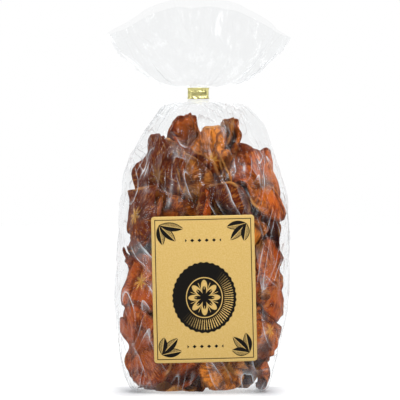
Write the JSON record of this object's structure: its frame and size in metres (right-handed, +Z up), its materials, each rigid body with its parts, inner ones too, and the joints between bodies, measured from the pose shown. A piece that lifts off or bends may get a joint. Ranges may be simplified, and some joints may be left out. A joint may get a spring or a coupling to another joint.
{
  "type": "bag of dried persimmon slices",
  "caption": "Clear film block-bottom bag of dried persimmon slices, gathered in a gold clip band under a flared film header, with a paper label on the front.",
  "frame": {"origin": "on the floor under the middle of the bag's box, base at z = 0", "axes": "+Z up from the flat base to the open header, -Y the front with the label, +X to the right of the front"},
  "size_m": [0.1334, 0.0842, 0.2842],
  "materials": {
    "film": "thin clear packing film, glossy, creased",
    "clip": "shiny gold-coloured metal band",
    "label": "matte golden yellow paper with black print",
    "dried_fruit": "leathery dried fruit flesh, dark orange-brown, half matte"
  },
  "bodies": {
    "root": {"film_bag": "film", "clip_band": "clip", "paper_label": "label", "persimmon_slice_01": "dried_fruit", "persimmon_slice_02": "dried_fruit", "persimmon_slice_03": "dried_fruit", "persimmon_slice_04": "dried_fruit", "persimmon_slice_05": "dried_fruit", "persimmon_slice_06": "dried_fruit", "persimmon_slice_07": "dried_fruit", "persimmon_slice_08": "dried_fruit", "persimmon_slice_09": "dried_fruit", "persimmon_slice_10": "dried_fruit", "persimmon_slice_11": "dried_fruit", "persimmon_slice_12": "dried_fruit", "persimmon_slice_13": "dried_fruit", "persimmon_slice_14": "dried_fruit", "persimmon_slice_15": "dried_fruit", "persimmon_slice_16": "dried_fruit", "persimmon_slice_17": "dried_fruit", "persimmon_slice_18": "dried_fruit", "persimmon_slice_19": "dried_fruit", "persimmon_slice_20": "dried_fruit", "persimmon_slice_21": "dried_fruit", "persimmon_slice_22": "dried_fruit", "persimmon_slice_23": "dried_fruit", "persimmon_slice_24": "dried_fruit", "persimmon_slice_25": "dried_fruit", "persimmon_slice_26": "dried_fruit", "persimmon_slice_27": "dried_fruit", "persimmon_slice_28": "dried_fruit", "persimmon_slice_29": "dried_fruit", "persimmon_slice_30": "dried_fruit", "persimmon_slice_31": "dried_fruit", "persimmon_slice_32": "dried_fruit", "persimmon_slice_33": "dried_fruit", "persimmon_slice_34": "dried_fruit", "persimmon_slice_35": "dried_fruit", "persimmon_slice_36": "dried_fruit", "persimmon_slice_37": "dried_fruit", "persimmon_slice_38": "dried_fruit", "persimmon_slice_39": "dried_fruit", "persimmon_slice_40": "dried_fruit", "persimmon_slice_41": "dried_fruit", "persimmon_slice_42": "dried_fruit", "persimmon_slice_43": "dried_fruit", "persimmon_slice_44": "dried_fruit", "persimmon_slice_45": "dried_fruit", "persimmon_slice_46": "dried_fruit", "persimmon_slice_47": "dried_fruit", "persimmon_slice_48": "dried_fruit", "persimmon_slice_49": "dried_fruit", "persimmon_slice_50": "dried_fruit", "persimmon_slice_51": "dried_fruit", "persimmon_slice_52": "dried_fruit", "persimmon_slice_53": "dried_fruit", "persimmon_slice_54": "dried_fruit", "persimmon_slice_55": "dried_fruit", "persimmon_slice_56": "dried_fruit"}
  },
  "joints": []
}
